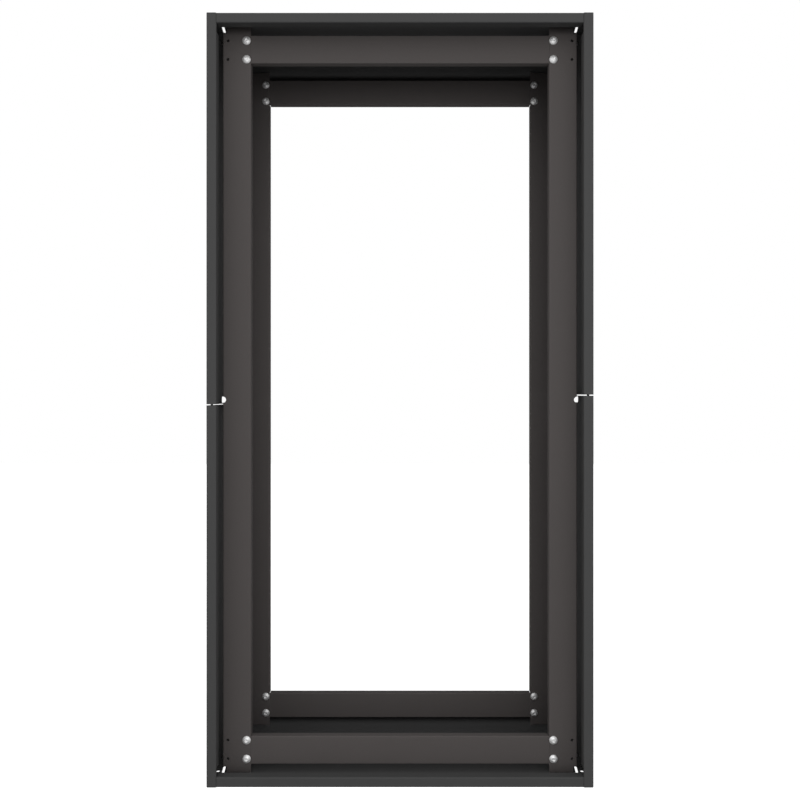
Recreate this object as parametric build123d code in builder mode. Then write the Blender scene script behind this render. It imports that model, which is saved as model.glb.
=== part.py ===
from build123d import *
import math
import os

# Firewood log rack: a tall open box of folded sheet steel with an inner frame bolted near the front and
# another near the rear. Millimetres. The origin is the middle of the footprint: +Z up, -Y the front.

# Casing
WIDTH = 500.0  # outside, along X
DEPTH = 200.0  # outside, along Y
HEIGHT = 1000.0  # outside, along Z
SHEET = 1.0  # thickness of every sheet piece
BEND = 1.0  # bend radius at the middle of the sheet
RIM = 12.9  # width of the folded rim round the front and the rear
LIP = 12.0  # how far the rims return into the casing
LIP_RELIEF = 24.0  # how far the returns of the walls' rims stop from the panels
FIT = 0.2  # gap between sheet pieces that lie side by side
END_TAB = 10.4  # width of the tabs at both ends of a wall piece
TAB_LENGTH = 100.0  # length of the tabs that are held to the top and bottom panels

# Seam of each side wall, and what is cut beside it
SEAM_SHIFT = 6.2  # the seam is this far above mid-height on the right, and below it on the left
SEAM_GAP = 1.5
SEAM_NOTCH = (48.0, 9.5, 3.0)  # length, depth and corner radius of the opening in the longer piece

# Inner frames
FRAME_SETBACK = 32.7  # from the outer face of the casing to the face of the posts
POST_WIDTH = 37.5
POST_INNER_X = 199.3  # inner edge of the posts, half the clear width
RAIL_INNER_Z = 450.2  # inner edge of the rails from mid-height, half the clear height
RAIL_WIDTH = 37.5
CHANNEL_DEPTH = 10.0  # of the posts and rails, from the outer face to the ends of their flanges
POST_NOTCH_RADIUS = 4.2  # half-round notch in the outer edge of each post at mid-height
POST_CORNER_CUT = (5.2, 9.0)  # cut at the outer corners of each post, across and down
FOOT_WIDTH = 24.0
FOOT_LENGTH = 14.0

# Slots and holes
CORNER_SLOT = (19.8, 3.4)  # slots in the top and bottom panels, beside the ends of the posts
CORNER_SLOT_PLACE = (237.7, 59.0)  # from the middle of the panel
CORNER_SLOT_TURN = 6.0  # degrees; the slots spread apart towards the middle of the depth
FLOOR_HOLE_DIAMETER = 5.0
FLOOR_HOLE_PLACE = (244.5, 62.0)
HOLE_PITCH = 25.0  # between the holes of each corner joint, across and up
SCREW_HOLE_DIAMETER = 6.4
SPARE_HOLE_DIAMETER = 4.0
HOLE_FROM_EDGE = (5.7, 4.8)  # from the inner edges of the posts and rails to the screws

# Fasteners
SCREW_DIAMETER = 6.0
SCREW_LENGTH = 12.0
HEAD_DIAMETER = 11.2
HEAD_HEIGHT = 3.3
HEAD_EDGE = 0.6  # straight rim below the dome of the head
SOCKET_ACROSS_FLATS = 4.0
SOCKET_DEPTH = 2.1
NUT_SIZE = (10.0, 5.0)  # across flats and height, for the frame screws
STUD_DIAMETER = 4.0
STUD_LENGTH = 8.0
STUD_NUT_SIZE = (7.0, 3.2)
SEAM_BOLT_DIAMETER = 3.3
SEAM_BOLT_HEAD = (5.8, 1.8)  # diameter and height
SEAM_BOLT_FROM_EDGE = (4.5, 10.5)  # from the side face and from the front or rear face
SEAM_BOLT_TAIL = 4.0  # how far the bolt reaches past the lower tab
SEAM_NUT_SIZE = (5.5, 2.4)
THREAD_PLAY = 0.05  # threads are plain cylinders this far apart
NUT_CORNER = 0.58  # radius that just clears a nut's corners, in parts of its width across flats
NUT_CHAMFER = 0.05  # height and depth of a nut's chamfers, in the same parts

# Worked out
HALF_W = WIDTH / 2
HALF_D = DEPTH / 2
HALF_H = HEIGHT / 2
FOLD = BEND + SHEET / 2  # how far a bend's outside reaches from its corner
WELL = HALF_D - FOLD  # half the depth that is flat between the front and rear folds
POST_OUTER_X = POST_INNER_X + POST_WIDTH
POST_HALF_HEIGHT = HALF_H - SHEET
RAIL_OUTER_Z = RAIL_INNER_Z + RAIL_WIDTH
FRAME_FACES = {"front": -HALF_D + FRAME_SETBACK, "rear": HALF_D - FRAME_SETBACK}
SIDES = {"left": -1, "right": 1}
ENDS = {"bottom": -1, "top": 1}
SCREW_X = POST_INNER_X + HOLE_FROM_EDGE[0]
SPARE_X = SCREW_X + HOLE_PITCH
HOLE_Z = (RAIL_INNER_Z + HOLE_FROM_EDGE[1], RAIL_INNER_Z + HOLE_FROM_EDGE[1] + HOLE_PITCH)
STUD_X = HALF_W - SHEET - (END_TAB - SHEET) / 2 - FIT / 2
STUD_Y = TAB_LENGTH / 4
FOOT_X = (POST_INNER_X + FIT + POST_OUTER_X - POST_CORNER_CUT[0]) / 2
FOOT_Y = FOOT_LENGTH / 2 + SHEET / 2  # from the face of the post to the middle of its foot


def folded_sheet(*points):
    """In the open sketch, a sheet of even thickness whose middle follows the points, with round bends."""
    with BuildLine(Plane.XY) as middle:
        FilletPolyline(*points, radius=BEND)
    trace(middle.line, line_width=SHEET)


def block(x_range, y_range, z_range, mode=Mode.SUBTRACT):
    """A box between two values on each axis, with Z counted from mid-height, in either order."""
    spans = (x_range, y_range, (z_range[0] + HALF_H, z_range[1] + HALF_H))
    middle = [(low + high) / 2 for low, high in spans]
    size = [abs(high - low) for low, high in spans]
    with Locations(tuple(middle)):
        Box(*size, mode=mode)


def hole_through(x, y, z, diameter, axis):
    """A round hole along an axis, long enough for the sheets that meet there; Z from mid-height."""
    turn = {"Y": (90, 0, 0), "Z": (0, 0, 0)}[axis]
    with Locations(Location((x, y, z + HALF_H), turn)):
        Cylinder(diameter / 2, 4 * SHEET, mode=Mode.SUBTRACT)


def save(piece, name):
    piece.label = name
    export_step(piece, f"parts/{name}.step")


def wall_piece(side, end):
    """Half of a side wall, with its front and rear rims. The seam is off mid-height, so one is longer."""
    seam = side * SEAM_SHIFT + end * SEAM_GAP / 2
    panel_face = end * (HALF_H - SHEET)
    middle_x = side * (HALF_W - SHEET / 2)
    rim_x = side * (HALF_W - RIM + SHEET / 2)
    rim_y = HALF_D - SHEET / 2
    lip_y = HALF_D - LIP
    bend_x = (side * (HALF_W - FOLD), side * (HALF_W + FIT))
    tab_x = side * (HALF_W - END_TAB)

    with BuildPart() as wall:
        with BuildSketch(Plane.XY.offset(HALF_H + min(seam, end * HALF_H))):
            folded_sheet(
                (rim_x, -lip_y), (rim_x, -rim_y), (middle_x, -rim_y),
                (middle_x, rim_y), (rim_x, rim_y), (rim_x, lip_y),
            )
        extrude(amount=abs(end * HALF_H - seam))
        # Only the rims reach the panel's outer face: the rest ends under the panel.
        block((0, side * (HALF_W + FIT)), (-WELL, WELL), (panel_face, end * HALF_H))
        # The returns of the rims stop short of the panel's own rims.
        lip_x = (side * (HALF_W - RIM - FIT), side * (HALF_W - RIM + FOLD))
        block(lip_x, (-WELL, WELL), (end * (HALF_H - LIP_RELIEF), end * HALF_H))

        # Tab at the panel, over the middle of the depth
        near = panel_face - end * FOLD
        block(bend_x, (-TAB_LENGTH / 2, TAB_LENGTH / 2), (near, panel_face))
        with BuildSketch(Plane.XZ):
            height = HALF_H + panel_face - end * SHEET / 2
            folded_sheet((middle_x, HALF_H + near - end * FOLD), (middle_x, height), (tab_x, height))
        extrude(amount=TAB_LENGTH / 2, both=True)
        for y in (-STUD_Y, STUD_Y):
            hole_through(side * STUD_X, y, panel_face, STUD_DIAMETER + 2 * FIT, "Z")

        # Tab at the seam, over the whole depth
        near = seam + end * FOLD
        block(bend_x, (-WELL, WELL), (seam, near))
        with BuildSketch(Plane.XZ):
            height = HALF_H + seam + end * SHEET / 2
            folded_sheet((middle_x, HALF_H + near + end * FOLD), (middle_x, height), (tab_x, height))
        extrude(amount=WELL, both=True)
        for y in (-HALF_D + SEAM_BOLT_FROM_EDGE[1], HALF_D - SEAM_BOLT_FROM_EDGE[1]):
            x = side * (HALF_W - SEAM_BOLT_FROM_EDGE[0])
            hole_through(x, y, seam, SEAM_BOLT_DIAMETER + 2 * THREAD_PLAY, "Z")

        # Opening at the seam, in the longer piece only
        if side != end:
            length, depth, radius = SEAM_NOTCH
            with BuildSketch(Plane.YZ.offset(tab_x - side * FIT)):
                with Locations((0, HALF_H + seam)):
                    RectangleRounded(length, 2 * depth, radius)
            extrude(amount=side * (END_TAB + 2 * FIT), mode=Mode.SUBTRACT)
    return wall.part


def end_panel(end):
    """The top or bottom panel: a flat plate between the walls with a rim at the front and the rear."""
    plate_z = HALF_H + end * (HALF_H - SHEET / 2)
    rim_z = HALF_H + end * (HALF_H - RIM + SHEET / 2)
    rim_y = HALF_D - SHEET / 2
    lip_y = HALF_D - LIP
    rim_half_length = HALF_W - RIM - FIT

    with BuildPart() as panel:
        with BuildSketch(Plane.YZ):
            folded_sheet(
                (-lip_y, rim_z), (-rim_y, rim_z), (-rim_y, plate_z),
                (rim_y, plate_z), (rim_y, rim_z), (lip_y, rim_z),
            )
        extrude(amount=rim_half_length, both=True)
        # The plate reaches the side faces between the ends of the walls' rims.
        wing_y = WELL - FIT
        for side in SIDES.values():
            wing_x = (side * (rim_half_length - FIT), side * HALF_W)
            block(wing_x, (-wing_y, wing_y), (end * (HALF_H - SHEET), end * HALF_H), Mode.ADD)
        slot_x, slot_y = CORNER_SLOT_PLACE
        with BuildSketch(Plane.XY.offset(plate_z)):
            for x in (-slot_x, slot_x):
                for y in (-slot_y, slot_y):
                    with Locations((x, y)):
                        SlotOverall(*CORNER_SLOT, rotation=90 + math.copysign(CORNER_SLOT_TURN, x * y))
        extrude(amount=SHEET, both=True, mode=Mode.SUBTRACT)
        if end == ENDS["bottom"]:
            hole_x, hole_y = FLOOR_HOLE_PLACE
            for x in (-hole_x, hole_x):
                for y in (-hole_y, hole_y):
                    hole_through(x, y, plate_z - HALF_H, FLOOR_HOLE_DIAMETER, "Z")
    return panel.part


def post(side, face_y):
    """An upright of a frame: a channel that opens to the rear, with a foot folded back at each end."""
    inner_x = side * (POST_INNER_X + SHEET / 2)
    outer_x = side * (POST_OUTER_X - SHEET / 2)
    web_y = face_y + SHEET / 2
    lip_y = face_y + CHANNEL_DEPTH
    behind = (face_y + SHEET, lip_y + FIT)
    foot_x = (side * FOOT_X - FOOT_WIDTH / 2, side * FOOT_X + FOOT_WIDTH / 2)

    with BuildPart() as channel:
        with BuildSketch(Plane.XY.offset(HALF_H - POST_HALF_HEIGHT)):
            folded_sheet((inner_x, lip_y), (inner_x, web_y), (outer_x, web_y), (outer_x, lip_y))
        extrude(amount=2 * POST_HALF_HEIGHT)

        # Half-round notch in the outer edge at mid-height
        with Locations(Location((side * POST_OUTER_X, face_y + CHANNEL_DEPTH / 2, HALF_H), (90, 0, 0))):
            Cylinder(POST_NOTCH_RADIUS, CHANNEL_DEPTH + 2 * FOLD, mode=Mode.SUBTRACT)

        for end in ENDS.values():
            tip = end * POST_HALF_HEIGHT
            # The inner lip stops short of the rail, and the outer corner is cut away.
            inner = (side * (POST_INNER_X - FIT), side * (POST_INNER_X + FOLD))
            block(inner, behind, (end * (RAIL_INNER_Z - FIT), tip))
            corner_x = (side * (POST_OUTER_X - POST_CORNER_CUT[0]), side * (POST_OUTER_X + FIT))
            block(corner_x, (face_y - FIT, lip_y + FIT), (tip - end * POST_CORNER_CUT[1], tip))

            # Foot against the panel
            near = tip - end * FOLD
            block(foot_x, (face_y - FIT, face_y + FOLD), (near, tip))
            with BuildSketch(Plane.YZ.offset(side * FOOT_X)):
                height = HALF_H + tip - end * SHEET / 2
                folded_sheet(
                    (web_y, HALF_H + near - end * FOLD), (web_y, height), (face_y + FOOT_LENGTH, height)
                )
            extrude(amount=FOOT_WIDTH / 2, both=True)
            hole_through(side * FOOT_X, face_y + FOOT_Y, tip, STUD_DIAMETER + 2 * FIT, "Z")

            for z in HOLE_Z:
                hole_through(side * SCREW_X, web_y, end * z, SCREW_HOLE_DIAMETER, "Y")
                hole_through(side * SPARE_X, web_y, end * z, SPARE_HOLE_DIAMETER, "Y")
    return channel.part


def rail(end, face_y):
    """A crosspiece of a frame: a channel whose web carries on flat behind the posts at both ends."""
    web_y = face_y + SHEET * 3 / 2
    lip_y = face_y + CHANNEL_DEPTH
    inner_z = HALF_H + end * (RAIL_INNER_Z + SHEET / 2)
    outer_z = HALF_H + end * (RAIL_OUTER_Z - SHEET / 2)
    lip_half_length = POST_INNER_X - 2 * FIT
    end_x = POST_OUTER_X - FOLD - FIT

    with BuildPart() as channel:
        with BuildSketch(Plane.YZ):
            folded_sheet((lip_y, inner_z), (web_y, inner_z), (web_y, outer_z), (lip_y, outer_z))
        extrude(amount=lip_half_length, both=True)
        for side in SIDES.values():
            tongue_x = (side * lip_half_length, side * end_x)
            tongue_y = (face_y + SHEET, face_y + 2 * SHEET)
            block(tongue_x, tongue_y, (end * RAIL_INNER_Z, end * RAIL_OUTER_Z), Mode.ADD)
            for z in HOLE_Z:
                hole_through(side * SCREW_X, web_y, end * z, SCREW_HOLE_DIAMETER, "Y")
                hole_through(side * SPARE_X, web_y, end * z, SPARE_HOLE_DIAMETER, "Y")
    return channel.part


def hex_nut(across_flats, height, bore):
    """A nut that stands on the XY plane, with both its faces chamfered to a circle."""
    with BuildPart() as nut:
        with BuildSketch():
            RegularPolygon(across_flats / 2, 6, major_radius=False)
        extrude(amount=height)
        with BuildSketch(Plane.XZ):
            with BuildLine():
                corner = across_flats * NUT_CORNER
                bevel = across_flats * NUT_CHAMFER
                Polyline(
                    (0, 0), (corner - bevel, 0), (corner, bevel), (corner, height - bevel),
                    (corner - bevel, height), (0, height), close=True,
                )
            make_face()
        revolve(axis=Axis.Z, mode=Mode.INTERSECT)
        Hole(bore / 2)
    return nut.part


os.makedirs("parts", exist_ok=True)

# Casing: four wall pieces and two panels
for end_name, end in {"lower": -1, "upper": 1}.items():
    for side_name, side in SIDES.items():
        save(wall_piece(side, end), f"{side_name}_wall_{end_name}")
for end_name, end in ENDS.items():
    save(end_panel(end), f"{end_name}_panel")

# Frames: two posts and two rails each
for frame_name, face_y in FRAME_FACES.items():
    for side_name, side in SIDES.items():
        save(post(side, face_y), f"{frame_name}_{side_name}_post")
    for end_name, end in ENDS.items():
        save(rail(end, face_y), f"{frame_name}_{end_name}_rail")

# Button head screw, with its head towards -Y and the underside of the head at Y = 0
with BuildPart() as button_screw:
    with BuildSketch() as screw_section:
        with BuildLine():
            head_radius = HEAD_DIAMETER / 2
            dome_rise = HEAD_HEIGHT - HEAD_EDGE
            dome_radius = (head_radius**2 + dome_rise**2) / (2 * dome_rise)
            RadiusArc((0, -HEAD_HEIGHT), (head_radius, -HEAD_EDGE), -dome_radius)
            Polyline(
                (head_radius, -HEAD_EDGE), (head_radius, 0), (SCREW_DIAMETER / 2, 0),
                (SCREW_DIAMETER / 2, SCREW_LENGTH), (0, SCREW_LENGTH), (0, -HEAD_HEIGHT),
            )
        make_face()
    revolve(axis=Axis.Y)
    with BuildSketch(Plane.XZ.offset(HEAD_HEIGHT)):
        RegularPolygon(SOCKET_ACROSS_FLATS / 2, 6, major_radius=False)
    extrude(amount=-SOCKET_DEPTH, mode=Mode.SUBTRACT)

frame_nut = hex_nut(*NUT_SIZE, SCREW_DIAMETER + 2 * THREAD_PLAY)
screw_spots = [
    (x, HALF_H + end * z) for x in (-SCREW_X, SCREW_X) for end in ENDS.values() for z in HOLE_Z
]
for frame_name, face_y in FRAME_FACES.items():
    with BuildPart() as frame_screws:
        with Locations(*[(x, face_y, z) for x, z in screw_spots]):
            add(button_screw.part)
    save(frame_screws.part, f"{frame_name}_frame_screws")
    with BuildPart() as frame_nuts:
        with Locations(*[Location((x, face_y + 2 * SHEET, z), (-90, 0, 0)) for x, z in screw_spots]):
            add(frame_nut)
    save(frame_nuts.part, f"{frame_name}_frame_nuts")

# Seam bolt, with its head above the upper tab and the underside of the head at Z = 0
seam_grip = SEAM_GAP + 2 * SHEET
with BuildPart() as seam_bolt:
    Cylinder(SEAM_BOLT_DIAMETER / 2, seam_grip + SEAM_BOLT_TAIL, align=(Align.CENTER, Align.CENTER, Align.MAX))
    Cylinder(SEAM_BOLT_HEAD[0] / 2, SEAM_BOLT_HEAD[1], align=(Align.CENTER, Align.CENTER, Align.MIN))
    fillet(seam_bolt.edges().filter_by(GeomType.CIRCLE).sort_by(Axis.Z)[-1], SEAM_BOLT_HEAD[1] / 2)
seam_nut = hex_nut(*SEAM_NUT_SIZE, SEAM_BOLT_DIAMETER + 2 * THREAD_PLAY)
seam_spots = [
    (side * (HALF_W - SEAM_BOLT_FROM_EDGE[0]), y, HALF_H + side * SEAM_SHIFT)
    for side in SIDES.values()
    for y in (-HALF_D + SEAM_BOLT_FROM_EDGE[1], HALF_D - SEAM_BOLT_FROM_EDGE[1])
]
with BuildPart() as seam_bolts:
    with Locations(*[(x, y, z + seam_grip / 2) for x, y, z in seam_spots]):
        add(seam_bolt.part)
save(seam_bolts.part, "seam_bolts")
with BuildPart() as seam_nuts:
    with Locations(*[(x, y, z - seam_grip / 2 - SEAM_NUT_SIZE[1]) for x, y, z in seam_spots]):
        add(seam_nut)
save(seam_nuts.part, "seam_nuts")

# Weld studs on the inside of the panels, for the tabs of the walls and the feet of the posts
stud_nut = hex_nut(*STUD_NUT_SIZE, STUD_DIAMETER + 2 * THREAD_PLAY)
stud_spots = [(side * STUD_X, y) for side in SIDES.values() for y in (-STUD_Y, STUD_Y)]
stud_spots += [(side * FOOT_X, y + FOOT_Y) for side in SIDES.values() for y in FRAME_FACES.values()]
for end_name, end in ENDS.items():
    panel_z = HALF_H + end * (HALF_H - SHEET)
    with BuildPart() as studs:
        with Locations(*[(x, y, panel_z - end * STUD_LENGTH / 2) for x, y in stud_spots]):
            Cylinder(STUD_DIAMETER / 2, STUD_LENGTH)
    save(studs.part, f"{end_name}_studs")
    nut_z = panel_z - end * (SHEET + STUD_NUT_SIZE[1] / 2) - STUD_NUT_SIZE[1] / 2
    with BuildPart() as stud_nuts:
        with Locations(*[(x, y, nut_z) for x, y in stud_spots]):
            add(stud_nut)
    save(stud_nuts.part, f"{end_name}_stud_nuts")
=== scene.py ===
import math

import bmesh
import bpy
import numpy as np
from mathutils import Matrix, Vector


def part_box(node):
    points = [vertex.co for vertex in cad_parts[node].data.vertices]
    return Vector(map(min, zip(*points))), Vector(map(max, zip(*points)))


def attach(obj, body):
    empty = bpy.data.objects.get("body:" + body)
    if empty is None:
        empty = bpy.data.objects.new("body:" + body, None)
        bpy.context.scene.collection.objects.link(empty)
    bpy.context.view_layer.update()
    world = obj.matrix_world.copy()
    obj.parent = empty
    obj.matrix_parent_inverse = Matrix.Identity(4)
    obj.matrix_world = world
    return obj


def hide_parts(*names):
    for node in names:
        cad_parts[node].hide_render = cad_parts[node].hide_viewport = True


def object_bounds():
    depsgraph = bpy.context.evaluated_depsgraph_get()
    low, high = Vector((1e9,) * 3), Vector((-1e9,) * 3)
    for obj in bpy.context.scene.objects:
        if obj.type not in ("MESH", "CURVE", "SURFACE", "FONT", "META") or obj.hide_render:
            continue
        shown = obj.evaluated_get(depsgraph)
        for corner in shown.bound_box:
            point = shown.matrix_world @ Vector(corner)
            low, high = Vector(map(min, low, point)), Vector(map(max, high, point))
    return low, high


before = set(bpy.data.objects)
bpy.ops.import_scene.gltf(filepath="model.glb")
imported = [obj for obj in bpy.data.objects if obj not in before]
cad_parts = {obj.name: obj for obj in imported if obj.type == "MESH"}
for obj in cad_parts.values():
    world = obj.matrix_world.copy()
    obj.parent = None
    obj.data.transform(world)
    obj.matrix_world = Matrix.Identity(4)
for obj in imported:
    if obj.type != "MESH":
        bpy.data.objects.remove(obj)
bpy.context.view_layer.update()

MM = 0.001

# ---------------------------------------------------------------------------------------------------------
# Casing: four wall pieces and two panels, folded from 1 mm sheet steel. They are powder coated in
# anthracite, with a fine even grain, a slow drift in the film and a few pale specks.
# ---------------------------------------------------------------------------------------------------------

CASING = (
    "left_wall_upper", "left_wall_lower", "right_wall_upper", "right_wall_lower", "top_panel", "bottom_panel",
)


def add_socket(group, name, direction, kind, value=None):
    """A named input or output of a node group, with its starting value."""
    socket = group.interface.new_socket(name=name, in_out=direction, socket_type=kind)
    if value is not None:
        socket.default_value = value
    return socket


def join(tree, source, output, target, entry):
    """Links one node's output to another's input."""
    tree.links.new(source.outputs[output], target.inputs[entry])


def math_node(tree, operation, first, second=None, clamp=False):
    """Adds a Math node and returns its output. Each operand is a number or a (node, output) pair."""
    node = tree.nodes.new("ShaderNodeMath")
    node.operation, node.use_clamp = operation, clamp
    for index, operand in enumerate((first, second)):
        if isinstance(operand, tuple):
            join(tree, operand[0], operand[1], node, index)
        elif operand is not None:
            node.inputs[index].default_value = operand
    return node, "Value"


def noise_node(tree, coordinates, scale, detail=2.0, roughness=0.5):
    """Noise on a coordinate output, at a scale given as a number or a (node, output) pair."""
    node = tree.nodes.new("ShaderNodeTexNoise")
    join(tree, coordinates[0], coordinates[1], node, "Vector")
    if isinstance(scale, tuple):
        join(tree, scale[0], scale[1], node, "Scale")
    else:
        node.inputs["Scale"].default_value = scale
    node.inputs["Detail"].default_value = detail
    node.inputs["Roughness"].default_value = roughness
    return node


def make_powder_coat_group():
    """Baked powder: pebbled grain, slow drift in film thickness, and specks of dust. The grain is noise at
    Grain per metre, and the drift is noise of a few centimetres that shifts both tint and roughness."""
    group = bpy.data.node_groups.new("powder_coat", "ShaderNodeTree")
    add_socket(group, "Colour", "INPUT", "NodeSocketColor", (0.05, 0.05, 0.05, 1.0))
    add_socket(group, "Grain", "INPUT", "NodeSocketFloat", 1500.0)
    add_socket(group, "Roughness", "INPUT", "NodeSocketFloat", 0.5)
    add_socket(group, "Drift", "INPUT", "NodeSocketFloat", 0.1)
    add_socket(group, "Colour", "OUTPUT", "NodeSocketColor")
    add_socket(group, "Roughness", "OUTPUT", "NodeSocketFloat")
    add_socket(group, "Height", "OUTPUT", "NodeSocketFloat")
    entry = group.nodes.new("NodeGroupInput")
    leave = group.nodes.new("NodeGroupOutput")
    place = group.nodes.new("ShaderNodeTexCoord")

    grain = noise_node(group, (place, "Object"), (entry, "Grain"), detail=2.0, roughness=0.6)
    film = noise_node(group, (place, "Object"), 28.0, detail=3.0)
    specks = group.nodes.new("ShaderNodeTexVoronoi")
    specks.inputs["Scale"].default_value = 260.0
    join(group, place, "Object", specks, "Vector")
    speck_mask = group.nodes.new("ShaderNodeMapRange")
    speck_mask.inputs["From Min"].default_value = 0.10
    speck_mask.inputs["From Max"].default_value = 0.04
    join(group, specks, "Distance", speck_mask, "Value")

    # Brightness = 1 + drift x film + a little of the grain + pale specks
    drift = math_node(group, "MULTIPLY", math_node(group, "SUBTRACT", (film, "Fac"), 0.5),
                      (entry, "Drift"))
    fine = math_node(group, "MULTIPLY", math_node(group, "SUBTRACT", (grain, "Fac"), 0.5), 0.24)
    speck = math_node(group, "MULTIPLY", (speck_mask, "Result"), 0.10)
    total = math_node(group, "ADD", drift, fine)
    total = math_node(group, "ADD", total, speck)
    total = math_node(group, "ADD", total, 1.0)
    tint = group.nodes.new("ShaderNodeVectorMath")
    tint.operation = "SCALE"
    join(group, entry, "Colour", tint, 0)
    join(group, *total, tint, "Scale")
    join(group, tint, 0, leave, "Colour")

    gloss = math_node(group, "MULTIPLY", math_node(group, "SUBTRACT", (film, "Fac"), 0.5), 0.16)
    gloss = math_node(group, "ADD", gloss, (entry, "Roughness"), clamp=True)
    join(group, *gloss, leave, "Roughness")
    join(group, grain, "Fac", leave, "Height")
    return group


powder_coat_group = make_powder_coat_group()


def powder_coated_steel(name, colour, roughness, specular, grain, drift, bump, distance):
    """Principled material whose colour, roughness and grain come from the powder coat group."""
    material = bpy.data.materials.new(name)
    material.use_nodes = True
    tree = material.node_tree
    shader = tree.nodes["Principled BSDF"]
    coat = tree.nodes.new("ShaderNodeGroup")
    coat.node_tree = powder_coat_group
    coat.inputs["Colour"].default_value = (*colour, 1.0)
    coat.inputs["Grain"].default_value = grain
    coat.inputs["Roughness"].default_value = roughness
    coat.inputs["Drift"].default_value = drift
    relief = tree.nodes.new("ShaderNodeBump")
    relief.inputs["Strength"].default_value = bump
    relief.inputs["Distance"].default_value = distance
    join(tree, coat, "Colour", shader, "Base Color")
    join(tree, coat, "Roughness", shader, "Roughness")
    join(tree, coat, "Height", relief, "Height")
    join(tree, relief, "Normal", shader, "Normal")
    shader.inputs["Specular IOR Level"].default_value = specular
    return material


def finish_node(node, material):
    """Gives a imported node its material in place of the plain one."""
    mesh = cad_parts[node].data
    mesh.materials.clear()
    mesh.materials.append(material)


casing_coat = powder_coated_steel(
    "casing_anthracite_coat", (0.056, 0.056, 0.056), roughness=0.7, specular=0.2, grain=1300.0, drift=0.10,
    bump=0.35, distance=0.05 * MM,
)
for node in CASING:
    finish_node(node, casing_coat)

# ---------------------------------------------------------------------------------------------------------
# Inner frames: posts and rails folded into channels from the same sheet. They have a smoother coat of a
# warmer black, and the posts lie over the flat ends of the rails.
# ---------------------------------------------------------------------------------------------------------

FRAME_PIECES = [
    f"{place}_{piece}" for place in ("front", "rear")
    for piece in ("left_post", "right_post", "top_rail", "bottom_rail")
]

FRAME_COLOUR = (0.079, 0.071, 0.069)

frame_coat = powder_coated_steel(
    "frame_warm_black_coat", FRAME_COLOUR, roughness=0.7, specular=0.2, grain=1700.0, drift=0.08, bump=0.3,
    distance=0.04 * MM,
)
for node in FRAME_PIECES:
    finish_node(node, frame_coat)

# ---------------------------------------------------------------------------------------------------------
# Frame screws: M6 button heads, cold headed with a hexagon socket and rolled threads, bright zinc plated.
# Eight hold each frame together at its corners, with their heads to the front.
# ---------------------------------------------------------------------------------------------------------


def zinc_material(name, colour, roughness):
    """Bright zinc: partly metallic, with cloudy patches in its colour and fine noise in its roughness."""
    material = bpy.data.materials.new(name)
    material.use_nodes = True
    tree = material.node_tree
    shader = tree.nodes["Principled BSDF"]
    place = tree.nodes.new("ShaderNodeTexCoord")
    cloud = noise_node(tree, (place, "Object"), 320.0, detail=3.0)
    fine = noise_node(tree, (place, "Object"), 4200.0, detail=2.0)
    ramp = tree.nodes.new("ShaderNodeValToRGB")
    ramp.color_ramp.elements[0].position, ramp.color_ramp.elements[1].position = 0.3, 0.7
    ramp.color_ramp.elements[0].color = (*[c * 0.86 for c in colour], 1.0)
    ramp.color_ramp.elements[1].color = (*colour, 1.0)
    join(tree, cloud, "Fac", ramp, "Fac")
    join(tree, ramp, "Color", shader, "Base Color")
    rough = tree.nodes.new("ShaderNodeMapRange")
    rough.inputs["To Min"].default_value = roughness - 0.08
    rough.inputs["To Max"].default_value = roughness + 0.08
    join(tree, fine, "Fac", rough, "Value")
    join(tree, rough, "Result", shader, "Roughness")
    relief = tree.nodes.new("ShaderNodeBump")
    relief.inputs["Strength"].default_value = 0.15
    relief.inputs["Distance"].default_value = 0.02 * MM
    join(tree, fine, "Fac", relief, "Height")
    join(tree, relief, "Normal", shader, "Normal")
    shader.inputs["Metallic"].default_value = 0.6
    return material


bright_zinc = zinc_material("bright_zinc", (0.90, 0.90, 0.90), 0.5)


def hexagon_radius(turn, across_flats):
    """Distance from the centre to the side of a hexagon at each angle: half the width across flats over
    the cosine of the angle from the middle of the nearest side. Its corners start on the X axis."""
    from_side = np.mod(turn, math.pi / 3) - math.pi / 6
    return across_flats / 2 / np.cos(from_side)


def turned_rings(radius, height):
    """Grid of points round the Z axis from arrays of radius and height, each rings by turns."""
    turns = radius.shape[1]
    turn = np.arange(turns) * 2 * math.pi / turns
    return np.stack([radius * np.cos(turn), radius * np.sin(turn), height + 0 * radius], axis=-1)


def ring_faces(rings, turns):
    """Four-sided faces between neighbouring rings, closed round, facing outwards when height rises."""
    ring, turn = np.meshgrid(np.arange(rings - 1), np.arange(turns), indexing="ij")
    after = (turn + 1) % turns
    here, above = ring * turns, (ring + 1) * turns
    corners = (here + turn, here + after, above + after, above + turn)
    return np.stack(corners, axis=-1).reshape(-1, 4)


def mesh_of_copies(name, grid, spots, basis, smooth_angle=40.0):
    """One mesh that repeats a ring grid at each spot. The basis is the three axes that the grid's X, Y and
    Z turn to. Points that meet, as at the poles, are merged."""
    rings, turns = grid.shape[:2]
    points = grid.reshape(-1, 3) @ np.array(basis, float)
    faces = ring_faces(rings, turns)
    all_points = (points[None] + np.array(spots, float)[:, None]).reshape(-1, 3)
    step = (np.arange(len(spots)) * len(points))[:, None, None]
    all_faces = (faces[None] + step).reshape(-1, 4)
    mesh = bpy.data.meshes.new(name)
    mesh.from_pydata(all_points.tolist(), [], all_faces.tolist())
    shape = bmesh.new()
    shape.from_mesh(mesh)
    bmesh.ops.remove_doubles(shape, verts=shape.verts, dist=0.002 * MM)
    bmesh.ops.recalc_face_normals(shape, faces=shape.faces)
    shape.to_mesh(mesh)
    shape.free()
    mesh.shade_smooth()
    mesh.set_sharp_from_angle(angle=math.radians(smooth_angle))
    piece = bpy.data.objects.new(name, mesh)
    bpy.context.scene.collection.objects.link(piece)
    return piece


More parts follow.
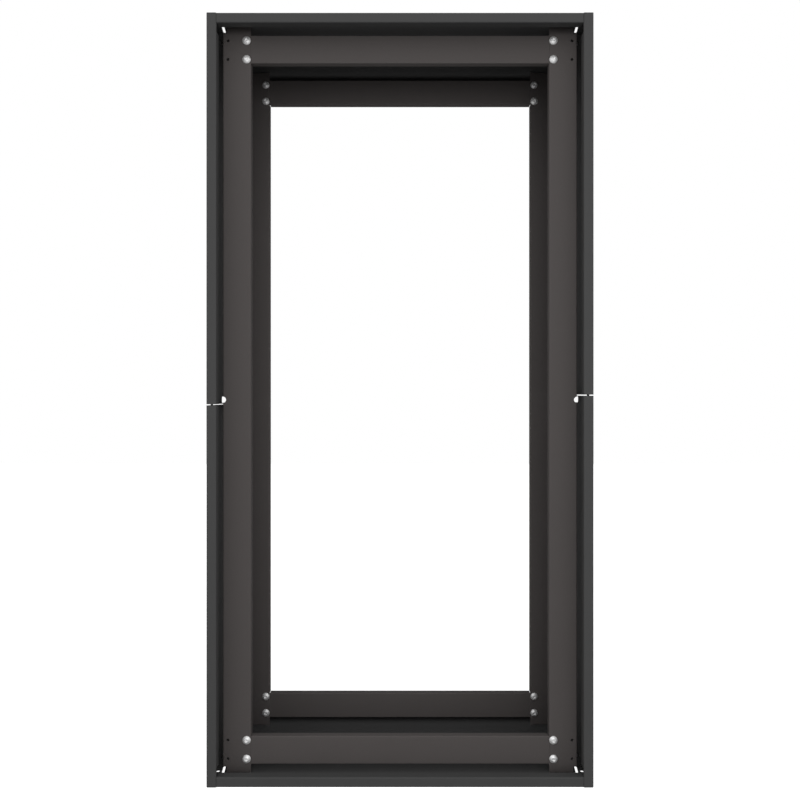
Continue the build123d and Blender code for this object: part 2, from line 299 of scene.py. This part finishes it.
def stand_for(piece, node, material):
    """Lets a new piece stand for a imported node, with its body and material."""
    piece.data.materials.append(material)
    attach(piece, "root")
    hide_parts(node)


FRAME_SCREW = {
    "head": (11.2 * MM, 3.3 * MM, 0.6 * MM),  # diameter, height, and straight edge below the dome
    "socket": (4.0 * MM, 2.1 * MM),  # across flats and depth
    "thread": (6.0 * MM, 1.0 * MM, 12.0 * MM),  # diameter, pitch and length
}
ROUND_TURNS = 48


def threaded_rings(diameter, pitch, start, end, turns, rings_per_pitch=8):
    """Radius and height grids of a rolled thread from one height to another: the radius drops by up to
    0.54 of the pitch in a rounded groove that climbs one pitch a turn, and the last 0.9 of a pitch
    narrows by 0.6 of the pitch to a blunt tip."""
    count = max(3, int(round(abs(end - start) / pitch * rings_per_pitch)))
    along = np.linspace(0.0, 1.0, count)[:, None]
    height = start + (end - start) * along + np.zeros((1, turns))
    turn = np.arange(turns)[None] / turns
    phase = height / pitch - turn
    groove = (0.5 + 0.5 * np.cos(2 * math.pi * phase)) ** 1.5
    left = np.abs(end - height)
    taper = np.clip(1.0 - left / (0.9 * pitch), 0.0, 1.0)
    radius = diameter / 2 - 0.54 * pitch * groove * (1.0 - taper) - 0.6 * pitch * taper
    return radius, height


def button_screw_grid(head, socket, thread):
    """Rings from the middle of the socket's floor, up its six sides, over the dome, under the head and
    down the thread to the tip. Height 0 is under the head, and the head is above it."""
    head_diameter, head_height, head_edge = head
    across_flats, socket_depth = socket
    diameter, pitch, length = thread
    turn = np.arange(ROUND_TURNS) * 2 * math.pi / ROUND_TURNS
    one = np.ones(ROUND_TURNS)
    head_radius = head_diameter / 2
    ease = head_radius * 0.025
    rise = head_height - head_edge
    dome_radius = (head_radius**2 + rise**2) / (2 * rise)

    def dome_height(radius):
        """Height of the dome at a radius, from its circle."""
        return head_height - dome_radius + np.sqrt(dome_radius**2 - radius**2)

    hexagon = hexagon_radius(turn, across_flats)
    floor_height = head_height - socket_depth
    mouth = hexagon + 0.055 * across_flats
    rings = [
        (0 * one, (floor_height - 0.11 * across_flats) * one),
        (0.39 * across_flats * one, floor_height * one),
        (hexagon * 0.985, floor_height * one),
        (hexagon, (floor_height + ease / 2) * one),
        (hexagon, dome_height(mouth) - 0.06 * across_flats),
        (mouth, dome_height(mouth)),
    ]
    outward = np.linspace(0.0, 1.0, 12)[1:, None]
    radius = mouth + (head_radius - ease - mouth) * outward
    rings += list(zip(radius, dome_height(radius)))
    rings += [
        (head_radius * one, (head_edge - ease) * one),
        (head_radius * one, ease * one),
        ((head_radius - ease) * one, 0 * one),
        (diameter / 2 * one, 0 * one),
    ]
    radius, height = threaded_rings(diameter, pitch, -1.6 * pitch, -length, ROUND_TURNS)
    rings += list(zip(radius, height))
    rings.append((0 * one, -length * one))
    return turned_rings(np.array([r for r, _ in rings]), np.array([h for _, h in rings]))


HOLE_PITCH = 25.0 * MM  # between the two screws of a corner joint
# Grid Z points out of the head, which is -Y in the rack.
FORWARD_BASIS = ((1, 0, 0), (0, 0, 1), (0, -1, 0))


def screw_spots(place):
    """Middle of each screw under its head, worked out from the box of the frame's screws."""
    low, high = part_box(f"{place}_frame_screws")
    inset = FRAME_SCREW["head"][0] / 2
    under_head = high.y - FRAME_SCREW["thread"][2]
    heights = (low.z + inset, low.z + inset + HOLE_PITCH, high.z - inset - HOLE_PITCH, high.z - inset)
    return [(x, under_head, z) for x in (low.x + inset, high.x - inset) for z in heights]


screw_grid = button_screw_grid(**FRAME_SCREW)
for place in ("front", "rear"):
    screws = mesh_of_copies(f"{place}_button_screws", screw_grid, screw_spots(place), FORWARD_BASIS)
    stand_for(screws, f"{place}_frame_screws", bright_zinc)

# ---------------------------------------------------------------------------------------------------------
# Nuts: hexagon nuts with both faces chamfered and a plain bore with countersunk ends, bright zinc plated.
# M6 nuts close the frame screws behind the rails, and M4 nuts sit on the studs of the panels.
# ---------------------------------------------------------------------------------------------------------


def nut_grid(across_flats, height, bore):
    """Rings from the countersunk bore over the top face, down the six sides and back under. The chamfer
    is a 30 degree cone that starts a little inside the circle that touches the six sides."""
    turn = np.arange(ROUND_TURNS) * 2 * math.pi / ROUND_TURNS
    hexagon = hexagon_radius(turn, across_flats)
    one = np.ones(ROUND_TURNS)
    start = across_flats / 2 * 0.95
    drop = np.maximum(hexagon - start, 0.0) * math.tan(math.radians(30))
    countersink = bore / 2 + 0.10 * across_flats / 2
    ease = 0.005 * across_flats
    half = [
        (bore / 2 * one, (height / 2 - countersink + bore / 2) * one),
        (countersink * one, height / 2 * one),
        (start * one, height / 2 * one),
        (start + (hexagon - start) * 0.5, height / 2 - drop * 0.5),
        (hexagon - ease, height / 2 - drop),
        (hexagon, height / 2 - drop - 2 * ease),
    ]
    rings = half + [(radius, -level) for radius, level in reversed(half)] + [half[0]]
    return turned_rings(np.array([r for r, _ in rings]), np.array([h for _, h in rings]))


BORE_PLAY = 0.1 * MM  # how much wider the bore of a nut is than the thread in it
FRAME_NUT = (10.0 * MM, 5.0 * MM)  # across flats and height
frame_nut_grid = nut_grid(*FRAME_NUT, FRAME_SCREW["thread"][0] + BORE_PLAY)
for place in ("front", "rear"):
    low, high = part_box(f"{place}_frame_nuts")
    middle_y = (low.y + high.y) / 2
    spots = [(x, middle_y, z) for x, _, z in screw_spots(place)]
    nuts = mesh_of_copies(f"{place}_hex_nuts", frame_nut_grid, spots, FORWARD_BASIS, smooth_angle=25.0)
    stand_for(nuts, f"{place}_frame_nuts", bright_zinc)

# ---------------------------------------------------------------------------------------------------------
# Weld studs: M4 steel studs, bright zinc plated, fused to the inside of the panels. Hexagon nuts on them
# clamp the tabs of the walls and the folded feet of the posts.
# ---------------------------------------------------------------------------------------------------------

STUD_DIAMETER = 4.0 * MM
STUD_PITCH = 0.7 * MM
STUD_LENGTH = 8.0 * MM
STUD_SPACING = 50.0 * MM  # between the two studs of each wall
POST_CORNER_CUT = 5.2 * MM  # across the outer corner of a post, which shifts the middle of its foot
FIT = 0.2 * MM  # left out at the post's inner edge when the middle of its foot is worked out
STUD_NUT = (7.0 * MM, 3.2 * MM)  # across flats and height
UPRIGHT_BASIS = ((1, 0, 0), (0, 1, 0), (0, 0, 1))
HANGING_BASIS = ((1, 0, 0), (0, -1, 0), (0, 0, -1))


def stud_grid():
    """Rings of a stud that stands on its panel: a closed base, a plain foot, a rolled thread and a tip."""
    one = np.ones(ROUND_TURNS)
    foot = 0.12 * STUD_LENGTH
    radius, height = threaded_rings(STUD_DIAMETER, STUD_PITCH, foot, STUD_LENGTH, ROUND_TURNS)
    side = STUD_DIAMETER / 2 * one
    rings = [(0 * one, 0 * one), (side, 0 * one), (side, 0.9 * foot * one)]
    rings += list(zip(radius, height))
    rings.append((0 * one, STUD_LENGTH * one))
    return turned_rings(np.array([r for r, _ in rings]), np.array([h for _, h in rings]))


def stud_places(end):
    """Middles of the studs of a panel, across and deep: the walls' pairs, then one at each post's foot."""
    low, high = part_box(f"{end}_studs")
    inset = STUD_DIAMETER / 2
    across = [(x, y) for x in (low.x + inset, high.x - inset) for y in (-STUD_SPACING / 2, STUD_SPACING / 2)]
    for side in ("left", "right"):
        post_low, post_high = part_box(f"front_{side}_post")
        outward = -1 if side == "left" else 1
        foot_x = (post_low.x + post_high.x) / 2 - outward * (POST_CORNER_CUT - FIT) / 2
        across += [(foot_x, low.y + inset), (foot_x, high.y - inset)]
    return across


upright_stud = stud_grid()
stud_nut_grid = nut_grid(*STUD_NUT, STUD_DIAMETER + BORE_PLAY)
for end, basis in {"top": HANGING_BASIS, "bottom": UPRIGHT_BASIS}.items():
    low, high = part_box(f"{end}_studs")
    root_z = high.z if end == "top" else low.z
    spots = [(x, y, root_z) for x, y in stud_places(end)]
    studs = mesh_of_copies(f"{end}_weld_studs", upright_stud, spots, basis)
    stand_for(studs, f"{end}_studs", bright_zinc)
    low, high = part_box(f"{end}_stud_nuts")
    spots = [(x, y, (low.z + high.z) / 2) for x, y in stud_places(end)]
    nuts = mesh_of_copies(f"{end}_hex_nuts", stud_nut_grid, spots, basis, smooth_angle=25.0)
    stand_for(nuts, f"{end}_stud_nuts", bright_zinc)

# ---------------------------------------------------------------------------------------------------------
# Seam bolts: small blackened steel button heads with nuts, one at each end of a wall's seam. They pull the
# tabs of the upper and lower wall pieces together.
# ---------------------------------------------------------------------------------------------------------

SEAM_BOLT = {
    "head": (5.8 * MM, 1.8 * MM, 0.3 * MM),
    "socket": (2.0 * MM, 1.0 * MM),
    "thread": (3.3 * MM, 0.5 * MM, 7.5 * MM),
}


def black_oxide_material():
    """Black oxide: dark metal with a brownish bloom in patches, and a finely uneven shine."""
    material = bpy.data.materials.new("black_oxide")
    material.use_nodes = True
    tree = material.node_tree
    shader = tree.nodes["Principled BSDF"]
    place = tree.nodes.new("ShaderNodeTexCoord")
    bloom = noise_node(tree, (place, "Object"), 900.0, detail=3.0)
    ramp = tree.nodes.new("ShaderNodeValToRGB")
    ramp.color_ramp.elements[0].position, ramp.color_ramp.elements[1].position = 0.35, 0.7
    ramp.color_ramp.elements[0].color = (0.020, 0.020, 0.022, 1.0)
    ramp.color_ramp.elements[1].color = (0.045, 0.038, 0.034, 1.0)
    join(tree, bloom, "Fac", ramp, "Fac")
    join(tree, ramp, "Color", shader, "Base Color")
    rough = tree.nodes.new("ShaderNodeMapRange")
    rough.inputs["To Min"].default_value = 0.38
    rough.inputs["To Max"].default_value = 0.58
    join(tree, bloom, "Fac", rough, "Value")
    join(tree, rough, "Result", shader, "Roughness")
    shader.inputs["Metallic"].default_value = 0.7
    return material


black_oxide = black_oxide_material()
low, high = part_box("seam_bolts")
inset = SEAM_BOLT["head"][0] / 2
under_heads = {low.x + inset: low.z + SEAM_BOLT["thread"][2], high.x - inset: high.z - SEAM_BOLT["head"][1]}
spots = [(x, y, z) for x, z in under_heads.items() for y in (low.y + inset, high.y - inset)]
bolts = mesh_of_copies("seam_button_bolts", button_screw_grid(**SEAM_BOLT), spots, UPRIGHT_BASIS)
stand_for(bolts, "seam_bolts", black_oxide)

SEAM_NUT = (5.5 * MM, 2.4 * MM)  # across flats and height
low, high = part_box("seam_nuts")
levels = (low.z + SEAM_NUT[1] / 2, high.z - SEAM_NUT[1] / 2)
spots = [(x, y, level) for (x, y, _), level in zip(spots, np.repeat(levels, 2).tolist())]
seam_nut_grid = nut_grid(*SEAM_NUT, SEAM_BOLT["thread"][0] + BORE_PLAY)
nuts = mesh_of_copies("seam_hex_nuts", seam_nut_grid, spots, UPRIGHT_BASIS, smooth_angle=25.0)
stand_for(nuts, "seam_nuts", black_oxide)

# ---------------------------------------------------------------------------------------------------------
# Stage: a plain pale floor and backdrop, soft studio light, and a camera straight in front of the rack.
# ---------------------------------------------------------------------------------------------------------

low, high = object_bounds()
middle = (low + high) / 2
scene = bpy.context.scene

FLOOR_SIZE = 8.0
FLOOR_GAP = 0.5 * MM  # between the floor and the underside of the rack
bpy.ops.mesh.primitive_plane_add(size=FLOOR_SIZE, location=(middle.x, middle.y, low.z - FLOOR_GAP))
floor = bpy.context.object
floor.name = "floor"
floor_material = bpy.data.materials.new("pale_floor")
floor_material.use_nodes = True
floor_shader = floor_material.node_tree.nodes["Principled BSDF"]
floor_shader.inputs["Base Color"].default_value = (0.5, 0.5, 0.5, 1.0)
floor_shader.inputs["Roughness"].default_value = 0.8
floor_shader.inputs["Specular IOR Level"].default_value = 0.0
floor_shader.inputs["Emission Color"].default_value = (1.0, 1.0, 1.0, 1.0)
seen = floor_material.node_tree.nodes.new("ShaderNodeLightPath")
join(floor_material.node_tree, seen, "Is Camera Ray", floor_shader, "Emission Strength")
floor.data.materials.append(floor_material)

FRONT_FILL = 1.03  # light from the half of the room in front of the rack
BACK_FILL = 0.30  # light from the half behind it, enough to show its rear
world = bpy.data.worlds.new("studio")
scene.world = world
world.use_nodes = True
world_tree = world.node_tree
background = world_tree.nodes["Background"]
background.inputs["Color"].default_value = (1.0, 1.0, 1.0, 1.0)
direction = world_tree.nodes.new("ShaderNodeTexCoord")
parts = world_tree.nodes.new("ShaderNodeSeparateXYZ")
join(world_tree, direction, "Generated", parts, "Vector")
front = world_tree.nodes.new("ShaderNodeMapRange")
front.inputs["From Min"].default_value = 0.15
front.inputs["From Max"].default_value = -0.15
front.inputs["To Min"].default_value = BACK_FILL
front.inputs["To Max"].default_value = FRONT_FILL
join(world_tree, parts, "Y", front, "Value")
ray = world_tree.nodes.new("ShaderNodeLightPath")
brightness = math_node(world_tree, "MAXIMUM", (front, "Result"), (ray, "Is Camera Ray"))
join(world_tree, *brightness, background, "Strength")


def softbox(name, place, target, size, power):
    """A square area light that faces a point."""
    light = bpy.data.lights.new(name, "AREA")
    light.shape, light.size, light.energy = "SQUARE", size, power
    holder = bpy.data.objects.new(name, light)
    scene.collection.objects.link(holder)
    holder.location = place
    holder.rotation_euler = (Vector(target) - Vector(place)).to_track_quat("-Z", "Y").to_euler()
    return holder


softbox("key", (0.1, -1.3, 0.7), tuple(middle), 0.6, 3.6)

camera_data = bpy.data.cameras.new("camera")
camera = bpy.data.objects.new("camera", camera_data)
scene.collection.objects.link(camera)
VIEW_DISTANCE = 0.902  # from the lens to the front face
EYE_RISE = 0.009  # above mid-height
SHOWN_SIZE = 1.0320  # height that the picture spans at the front face
SENSOR = 36.0  # millimetres, as the lens is
camera.location = (middle.x, low.y - VIEW_DISTANCE, middle.z + EYE_RISE)
camera.rotation_euler = (math.radians(90), 0.0, 0.0)
camera_data.sensor_width = SENSOR
camera_data.lens = SENSOR * VIEW_DISTANCE / SHOWN_SIZE
camera_data.shift_y = -EYE_RISE / SHOWN_SIZE
camera_data.clip_start, camera_data.clip_end = 0.01, 50.0
scene.camera = camera
scene.view_settings.view_transform = "Standard"
